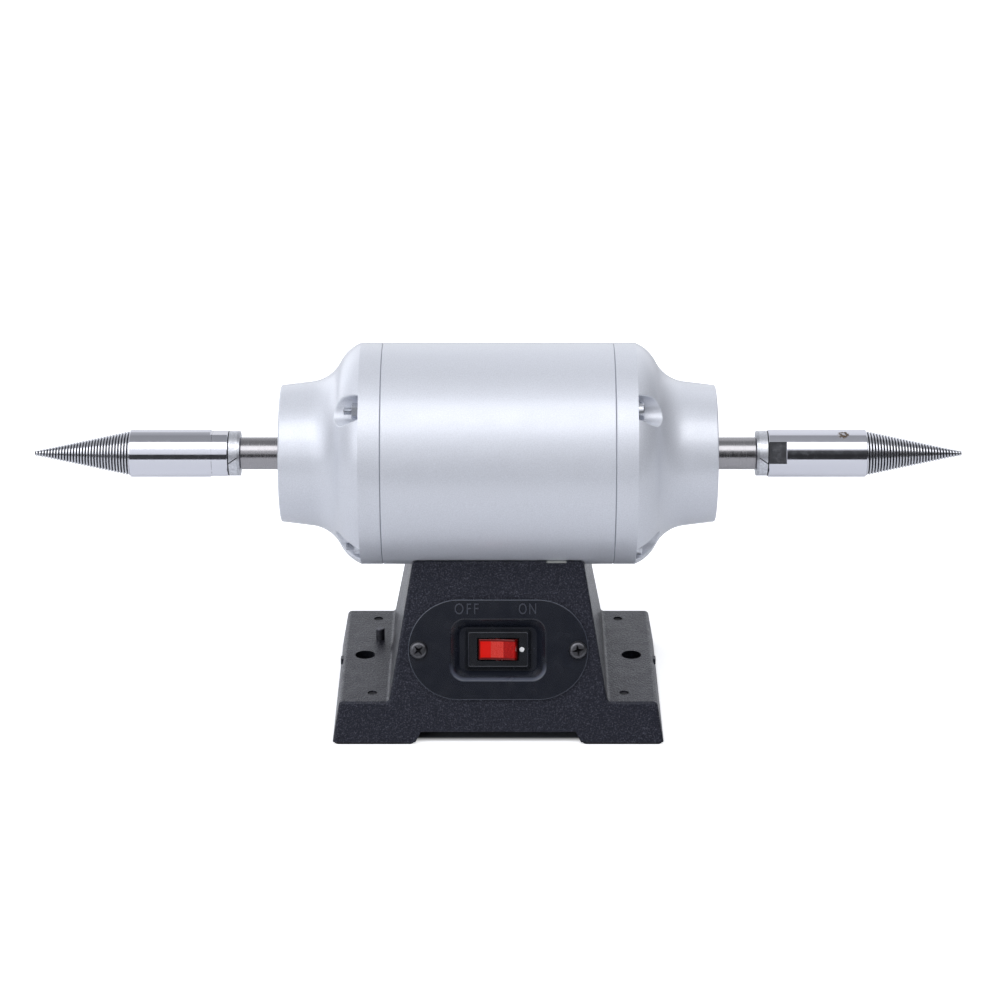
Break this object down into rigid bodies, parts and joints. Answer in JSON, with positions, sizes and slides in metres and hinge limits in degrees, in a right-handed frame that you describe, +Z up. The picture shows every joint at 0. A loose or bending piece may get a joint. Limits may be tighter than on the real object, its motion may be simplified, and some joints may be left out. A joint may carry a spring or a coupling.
{
  "type": "dental polishing lathe",
  "caption": "Bench polishing lathe with an enclosed motor on a cast pedestal, a rocker switch and a tapered threaded spindle at each end for polishing wheels.",
  "frame": {"origin": "on the table below the middle of the motor, at the bottom centre of the part", "axes": "+X along the spindle axis to the operator's right, +Y away from the operator, +Z up"},
  "size_m": [0.461, 0.1256, 0.1852],
  "materials": {
    "wrinkle_paint": "black wrinkle paint on grey iron",
    "silver_paint": "silver metallic paint on steel tube",
    "silver_casting": "silver metallic paint on die-cast aluminium",
    "rubber": "moulded black rubber",
    "black_oxide": "black oxide steel",
    "zinc_sheet": "zinc plated sheet steel",
    "zinc_steel": "bright zinc plated steel",
    "bearing_steel": "ground bearing steel",
    "ground_steel": "ground shaft steel",
    "lamination_steel": "stacked electrical steel sheet",
    "bright_chrome": "polished bright chrome plating",
    "cast_aluminium": "as cast or drawn aluminium",
    "enamelled_copper": "enamelled copper wire, varnished",
    "brass": "plain brass",
    "felt": "pressed felt",
    "black_abs": "satin moulded plastic",
    "gloss_black": "gloss moulded plastic",
    "red_rocker": "translucent red moulded plastic",
    "nylon": "moulded nylon",
    "sleeving": "woven insulating sleeve"
  },
  "bodies": {
    "stand": {"base_casting": "wrinkle_paint", "foot_pads": "rubber", "earth_stud": "black_oxide", "bottom_cover": "zinc_sheet", "cover_screws": "zinc_steel", "mounting_screws": "zinc_steel", "mounting_washers": "zinc_steel", "motor_tube": "silver_paint", "left_end_bell": "silver_casting", "right_end_bell": "silver_casting", "through_bolts": "zinc_steel", "through_bolt_nuts": "zinc_steel", "stator_core": "lamination_steel", "stator_winding": "enamelled_copper", "left_bearing_outer_ring": "bearing_steel", "right_bearing_outer_ring": "bearing_steel", "bearing_wave_washer": "bearing_steel", "shaft_seals": "felt", "switch_plate": "black_abs", "switch_plate_screws": "black_oxide", "switch_housing": "gloss_black", "switch_terminals": "brass", "run_capacitor": "cast_aluminium", "capacitor_clamp": "zinc_sheet", "clamp_screws": "zinc_steel", "terminal_block": "nylon", "terminal_screws": "brass", "motor_leads": "sleeving", "switch_leads": "sleeving", "lead_grommet": "rubber", "cord_grommet": "rubber"},
    "rotor": {"shaft": "ground_steel", "rotor_core": "lamination_steel", "rotor_end_rings": "cast_aluminium", "left_bearing_inner_ring": "bearing_steel", "right_bearing_inner_ring": "bearing_steel", "thrust_washers": "zinc_steel", "left_lock_washer": "zinc_steel", "right_lock_washer": "zinc_steel", "left_spindle": "bright_chrome", "right_spindle": "bright_chrome"},
    "rocker": {"switch_rocker": "red_rocker"}
  },
  "joints": [
    {"name": "rotor_spin", "type": "hinge", "parent": "stand", "child": "rotor", "pos_m": [0, 0, 0.1302], "axis": [1, 0, 0], "continuous": true},
    {"name": "rocker_tilt", "type": "hinge", "parent": "stand", "child": "rocker", "pos_m": [0, -0.04552, 0.04416], "axis": [0, 0.3123, 0.95], "range_deg": [0, 20]}
  ]
}
